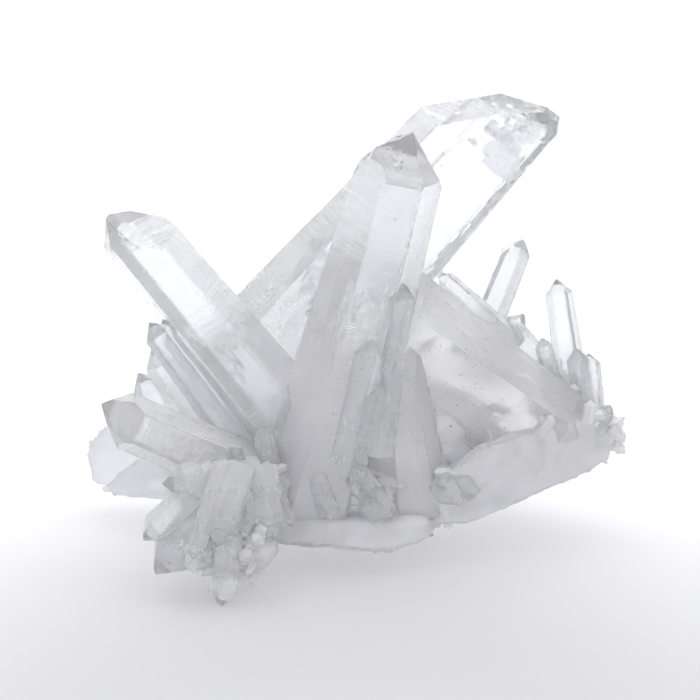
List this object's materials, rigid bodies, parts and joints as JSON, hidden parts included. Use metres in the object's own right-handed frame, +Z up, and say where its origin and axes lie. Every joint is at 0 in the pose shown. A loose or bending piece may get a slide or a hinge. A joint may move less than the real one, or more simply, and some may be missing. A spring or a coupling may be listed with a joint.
{
  "type": "quartz crystal cluster",
  "caption": "Free-standing natural quartz cluster: pointed six-sided crystals radiate from a rough, milky matrix that carries them.",
  "frame": {"origin": "middle of the bounding box on the surface it rests on", "axes": "+Z up, +X to the viewer's right along the longest side, -Y towards the viewer"},
  "size_m": [0.1226, 0.0934, 0.0986],
  "materials": {
    "clear_quartz": "polished",
    "cloudy_quartz": "satin",
    "matrix_quartz": "matte"
  },
  "bodies": {
    "root": {"front_tower": "clear_quartz", "roof_prism": "clear_quartz", "leaning_blade": "clear_quartz", "left_spear": "clear_quartz", "core_prism": "clear_quartz", "low_left_spear": "clear_quartz", "left_companion_front": "cloudy_quartz", "left_companion_rear": "cloudy_quartz", "left_stub": "cloudy_quartz", "left_rear_point": "cloudy_quartz", "tower_side_slab": "cloudy_quartz", "tower_front_point": "cloudy_quartz", "tower_low_point": "cloudy_quartz", "right_tall_point": "cloudy_quartz", "right_far_point": "cloudy_quartz", "right_short_point": "cloudy_quartz", "ridge_lath_upper": "cloudy_quartz", "ridge_lath_lower": "cloudy_quartz", "edge_point_left": "cloudy_quartz", "edge_point_middle": "cloudy_quartz", "edge_point_right": "cloudy_quartz", "edge_end_point": "cloudy_quartz", "front_sliver": "cloudy_quartz", "front_cube_point": "cloudy_quartz", "front_blunt_point": "cloudy_quartz", "front_right_block": "cloudy_quartz", "front_right_point": "cloudy_quartz", "front_left_point": "cloudy_quartz", "front_left_bud": "cloudy_quartz", "rosette_left_crown": "cloudy_quartz", "rosette_left_point": "cloudy_quartz", "rosette_left_slab": "cloudy_quartz", "rosette_lath_left": "cloudy_quartz", "rosette_lath_middle": "cloudy_quartz", "rosette_lath_right": "cloudy_quartz", "rosette_right_point": "cloudy_quartz", "rosette_splinter": "cloudy_quartz", "rosette_foot_point": "cloudy_quartz", "back_tall_point": "cloudy_quartz", "back_stout_point": "cloudy_quartz", "back_left_point": "cloudy_quartz", "back_low_point": "cloudy_quartz", "back_right_point": "cloudy_quartz", "back_slim_point": "cloudy_quartz", "matrix": "matrix_quartz"}
  },
  "joints": []
}
